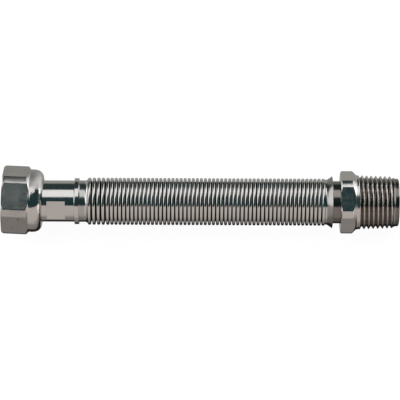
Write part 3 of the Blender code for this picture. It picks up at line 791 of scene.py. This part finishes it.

# %% [markdown]
# ## Forged stainless steel
#
# The nut is forged, blasted and tumbled. Blasting leaves a grain of a few tenths of a millimetre and a soft sheen
# instead of a mirror, and tumbling leaves short scratches in all directions. Two stretched noises at different
# angles make the scratches, and small dark pits come from the lowest values of a third. A field on the mesh says
# where the nut was turned: there it is bright and slightly dented. Its thread grooves keep cutting residue, and
# they and the whole bore are darkened by painted shade.

# %% The forged steel
def forged_steel(name):
    """Forged and tumbled stainless: broad soft reflections, a fine grain, scratches and a few dark pits."""
    material, tree, shader, coords = new_material(name)
    grain = add_node(tree, "TexNoise", {"Vector": coords, "Scale": 1800.0, "Detail": 3.0})
    scratches = []
    for turn in (0.35, -0.6):
        along = add_node(tree, "Mapping", {"Vector": coords, "Rotation": (0, 0.4, turn), "Scale": (220, 3000, 1500)})
        scratches.append(add_node(tree, "TexNoise", {"Vector": along, "Scale": 1.0, "Detail": 2.0}))
    crossed = add_node(tree, "Math", {0: scratches[0], 1: scratches[1]}, operation="ADD")
    relief = add_node(tree, "Math", {0: crossed, 1: grain}, operation="ADD")
    patches = add_node(tree, "TexNoise", {"Vector": coords, "Scale": 260.0, "Detail": 4.0})
    pits = add_node(tree, "TexNoise", {"Vector": coords, "Scale": 1100.0, "Detail": 1.0})
    pitted = add_node(tree, "MapRange", {"Value": pits, 1: 0.30, 2: 0.24})
    tone = add_node(tree, "Mix", {0: patches, 6: linear("#ccc8c2"), 7: linear("#b2afab")}, data_type="RGBA")
    forged = add_node(tree, "Mix", {0: pitted, 6: tone.outputs[2], 7: linear("#3b3836")}, data_type="RGBA")
    # The turned collar and bore are bright, with dents of 1.5 mm instead of the grain.
    polished = add_node(tree, "Attribute", attribute_name="polished").outputs["Fac"]
    steel = add_node(tree, "Mix", {0: polished, 6: forged.outputs[2], 7: linear("#d0ccc7")}, data_type="RGBA")
    groove = add_node(tree, "Attribute", attribute_name="groove")
    # Painted shade, with cutting residue, darkens the bore and the thread's grooves.
    residue_and_shade = add_node(tree, "MapRange", {"Value": groove.outputs["Fac"], 1: 0.2, 2: 1.0, 3: 0.0, 4: 0.7})
    tint = add_node(tree, "Mix", {0: residue_and_shade, 6: steel.outputs[2], 7: linear("#5a5350")}, data_type="RGBA")
    sheen = add_node(tree, "MapRange", {"Value": patches, 1: 0.3, 2: 0.7, 3: 0.17, 4: 0.25})
    bright = add_node(tree, "Mix", {0: polished, 2: sheen, 3: 0.12}, data_type="FLOAT")
    frosted = add_node(tree, "Attribute", attribute_name="frosted").outputs["Fac"]
    rough = add_node(tree, "Mix", {0: frosted, 2: bright, 3: 0.5}, data_type="FLOAT")
    dents = add_node(tree, "TexNoise", {"Vector": coords, "Scale": 650.0, "Detail": 1.0})
    dents = add_node(tree, "Math", {0: dents, 1: 8.0}, operation="MULTIPLY")
    height = add_node(tree, "Mix", {0: polished, 2: relief, 3: dents}, data_type="FLOAT")
    bump = add_node(tree, "Bump", {"Height": height, "Strength": 0.35, "Distance": 0.00004})
    finish_metal(tree, shader, tint, rough, bump)
    return material


nut.data.materials.append(forged_steel("forged_304_stainless"))
print("forged steel on the nut")

# %% [markdown]
# ## Fibre rubber
#
# The gasket is punched from black sheet of rubber bound fibre. Its surface is matt with a faint mottle of fibres
# about half a millimetre long.

# %% The gasket's rubber
def fibre_rubber(name):
    """Matt black gasket sheet with a faint mottle."""
    material, tree, shader, coords = new_material(name)
    fibres = add_node(tree, "TexNoise", {"Vector": coords, "Scale": 2000.0, "Detail": 4.0})
    tint = add_node(tree, "Mix", {0: fibres, 6: linear("#191918"), 7: linear("#2e2d2b")}, data_type="RGBA")
    bump = add_node(tree, "Bump", {"Height": fibres, "Strength": 0.4, "Distance": 0.00005})
    tree.links.new(tint.outputs[2], shader.inputs["Base Color"])
    tree.links.new(bump.outputs[0], shader.inputs["Normal"])
    shader.inputs["Roughness"].default_value = 0.75
    return material


gasket.data.materials.append(fibre_rubber("black_fibre_rubber"))
print("rubber on the gasket")

# %% [markdown]
# ## The studio
#
# Polished metal has hardly a colour of its own: it shows the room. Here the room is a long soft box up and to the
# back, a dark ceiling overhead, where the camera hangs, pale grey surroundings in front, a white panel at the left
# end, and a bright right end with a dark doorway. Lamps could make it, but a world that is worked out from the
# direction gives the bands on the steel their exact places. The angle of a direction round the X axis is
# arctan(y / z), 0 straight up and 90 degrees towards +Y. The soft box hangs at a slant, so its angle shifts with
# the direction's x.

# %% The studio as a function of direction
SOFT_BOX_ANGLE = 39.6
SOFT_BOX_HALF = 21.3
SOFT_BOX_SLANT = 52.0
SOFT_BOX_LIGHT = 1.2
SOFT_BOX_EDGE = 1.5
SOFT_BOX_SPREAD = 60.0
SPREAD_FROM = 0.2
# (angle in degrees, linear red, green, blue) of the surroundings
ROOM = [(-180, 0.02, 0.02, 0.02), (-143, 0.02, 0.02, 0.02), (-137, 0.27, 0.255, 0.245), (-113, 0.30, 0.285, 0.275),
        (-92, 0.58, 0.55, 0.53), (-34, 0.65, 0.60, 0.59), (-31, 0.012, 0.040, 0.046), (0, 0.022, 0.052, 0.060),
        (67, 0.03, 0.05, 0.055), (103, 0.04, 0.06, 0.06), (113, 0.36, 0.37, 0.36), (127, 0.42, 0.42, 0.41),
        (180, 0.40, 0.40, 0.38)]
# Colours of the things at the two ends, each with the ramps, one of the direction's x and two of its y, along
# which it appears
PANEL = (1.7, 1.7, 1.68, 1)
PANEL_RAMPS = ((-0.72, -0.80), (-0.26, -0.16), (0.74, 0.64))
DOORWAY = (0.03, 0.045, 0.05, 1)
DOORWAY_RAMPS = ((0.84, 0.92), (-0.22, -0.14), (0.30, 0.20))
END_RAMP = (0.80, 0.92)
END_GAIN = 1.2


def end_window(tree, dx, dy, ramps):
    """1 where a thing at the room's end shows and 0 elsewhere: the product of its three ramps."""
    facing, front, back = [add_node(tree, "MapRange", {"Value": part, 1: start, 2: end})
                           for part, (start, end) in zip((dx, dy, dy), ramps)]
    share = add_node(tree, "Math", {0: facing, 1: front}, operation="MULTIPLY")
    return add_node(tree, "Math", {0: share, 1: back}, operation="MULTIPLY")


def build_studio():
    """World: the room's colours by angle round X, the soft box laid over them, and plain white for the camera."""
    world = bpy.data.worlds.new("studio")
    bpy.context.scene.world = world
    world.use_nodes = True
    tree = world.node_tree
    tree.nodes.clear()
    direction = add_node(tree, "SeparateXYZ", {0: add_node(tree, "TexCoord").outputs["Generated"]})
    dx, dy, dz = direction.outputs
    angle = add_node(tree, "Math", {0: dy, 1: dz}, operation="ARCTAN2")
    degrees = add_node(tree, "Math", {0: angle}, operation="DEGREES")
    turn = add_node(tree, "MapRange", {"Value": degrees, 1: -180.0, 2: 180.0})
    ramp = add_node(tree, "ValToRGB", {0: turn})
    stops = ramp.color_ramp.elements
    stops[0].position, stops[1].position = 0.0, 1.0
    for place in ROOM[1:-1]:
        stops.new((place[0] + 180) / 360)
    for stop, place in zip(stops, ROOM):
        stop.color = (*place[1:], 1)
    # Distance in degrees from the slanting middle line of the soft box.
    off = add_node(tree, "Math", {0: dx, 1: -SOFT_BOX_SLANT, 2: degrees}, operation="MULTIPLY_ADD")
    off = add_node(tree, "Math", {0: off, 1: SOFT_BOX_ANGLE}, operation="SUBTRACT")
    # Towards +x the box's outer edge spreads.
    far = add_node(tree, "Math", {0: dx, 1: SPREAD_FROM}, operation="SUBTRACT")
    far = add_node(tree, "Math", {0: far, 1: 0.0}, operation="MAXIMUM")
    over = add_node(tree, "Math", {0: far, 1: -SOFT_BOX_SPREAD, 2: off}, operation="MULTIPLY_ADD")
    over = add_node(tree, "Math", {0: over, 1: 0.0}, operation="MAXIMUM")
    under = add_node(tree, "Math", {0: off, 1: 0.0}, operation="MINIMUM")
    away = add_node(tree, "Math", {0: over, 1: under}, operation="SUBTRACT")
    inside = add_node(tree, "MapRange", {
        "Value": away, 1: SOFT_BOX_HALF + SOFT_BOX_EDGE, 2: SOFT_BOX_HALF - SOFT_BOX_EDGE})
    box_colour = (SOFT_BOX_LIGHT * 0.97, SOFT_BOX_LIGHT, SOFT_BOX_LIGHT * 1.02, 1)
    room = add_node(tree, "Mix", {0: inside, 6: ramp, 7: box_colour}, data_type="RGBA").outputs[2]
    # A white panel closes the room at -x, and a dark doorway stands at +x, both about level with the hose.
    for colour, ramps in ((PANEL, PANEL_RAMPS), (DOORWAY, DOORWAY_RAMPS)):
        room = add_node(tree, "Mix", {0: end_window(tree, dx, dy, ramps), 6: room, 7: colour},
                        data_type="RGBA").outputs[2]
    # The room is brighter towards its end at +x.
    gain = add_node(tree, "MapRange", {"Value": dx, 1: END_RAMP[0], 2: END_RAMP[1], 3: 1.0, 4: 1.0 + END_GAIN})
    camera_ray = add_node(tree, "LightPath").outputs["Is Camera Ray"]
    shown = add_node(tree, "Mix", {0: camera_ray, 6: room, 7: (1, 1, 1, 1)}, data_type="RGBA").outputs[2]
    light = add_node(tree, "Background", {0: shown, 1: gain})
    add_node(tree, "OutputWorld", {0: light})


build_studio()
print("soft box at", SOFT_BOX_ANGLE, "degrees")

# %% [markdown]
# ## The floor
#
# The floor is white to the camera, as the picture's background is. Most of its white is a glow that lights
# nothing else, and the rest comes from a grey matt surface that keeps the hose's soft shadow. The steel doesn't
# mirror the floor: the lower half of the studio stands in for it, so that its pale and dark zones lie right.

# %% The floor
# In metres.
FLOOR_REACH = 1.5
FLOOR_GLOW = 0.9
FLOOR_GREY = (0.27, 0.27, 0.27, 1)


def build_floor():
    """A square plane at Z = 0: a glow that only the camera sees plus a matt part that the shadow darkens."""
    mesh = bpy.data.meshes.new("studio_floor")
    corners = np.array([[-1, -1, 0], [1, -1, 0], [1, 1, 0], [-1, 1, 0]]) * FLOOR_REACH
    mesh.from_pydata(corners.tolist(), [], [(0, 1, 2, 3)])
    floor = bpy.data.objects.new("studio_floor", mesh)
    bpy.context.scene.collection.objects.link(floor)
    material = bpy.data.materials.new("white_studio_floor")
    material.use_nodes = True
    tree = material.node_tree
    tree.nodes.clear()
    matt = add_node(tree, "BsdfDiffuse", {0: FLOOR_GREY})
    camera_ray = add_node(tree, "LightPath").outputs["Is Camera Ray"]
    strength = add_node(tree, "Math", {0: camera_ray, 1: FLOOR_GLOW}, operation="MULTIPLY")
    glow = add_node(tree, "Emission", {0: (1, 1, 1, 1), 1: strength})
    both = add_node(tree, "AddShader", {0: matt, 1: glow})
    add_node(tree, "OutputMaterial", {0: both})
    mesh.materials.append(material)
    floor.visible_glossy = False
    return floor


floor = build_floor()

# %% [markdown]
# ## The camera
#
# The photograph was taken from nearly straight above: the camera stood 6.7 degrees towards the front, so that
# whatever is higher on the object lies a little further up in the picture. The hose slopes a quarter of a degree in
# it. A long lens about a metre away shows no perspective worth the name, as there.

# %% The camera
SENSOR_WIDTH = 36.0
FRAME_WIDTH = 158.0
CAMERA_DISTANCE = 1100.0
CAMERA_TILT = math.radians(6.7)
CAMERA_ROLL = math.radians(0.26)
AIM = np.array([0.02, 0.65, AXIS_HEIGHT])
camera_data = bpy.data.cameras.new("camera")
camera_data.sensor_width = SENSOR_WIDTH
# The field at the aim is the sensor's width times distance over focal length.
camera_data.lens = SENSOR_WIDTH * CAMERA_DISTANCE / FRAME_WIDTH
camera_data.clip_end = 10.0
camera = bpy.data.objects.new("camera", camera_data)
camera.rotation_euler = (CAMERA_TILT, 0, CAMERA_ROLL)
# The camera looks along its own -Z, so it stands back from the aim along its turned Z axis.
camera.location = AIM * MM + CAMERA_DISTANCE * MM * np.array([
    math.sin(CAMERA_TILT) * math.sin(CAMERA_ROLL), -math.sin(CAMERA_TILT) * math.cos(CAMERA_ROLL),
    math.cos(CAMERA_TILT)])
bpy.context.scene.collection.objects.link(camera)
bpy.context.scene.camera = camera
bpy.context.scene.view_settings.view_transform = "Standard"
print("camera", [round(v, 4) for v in camera.location])
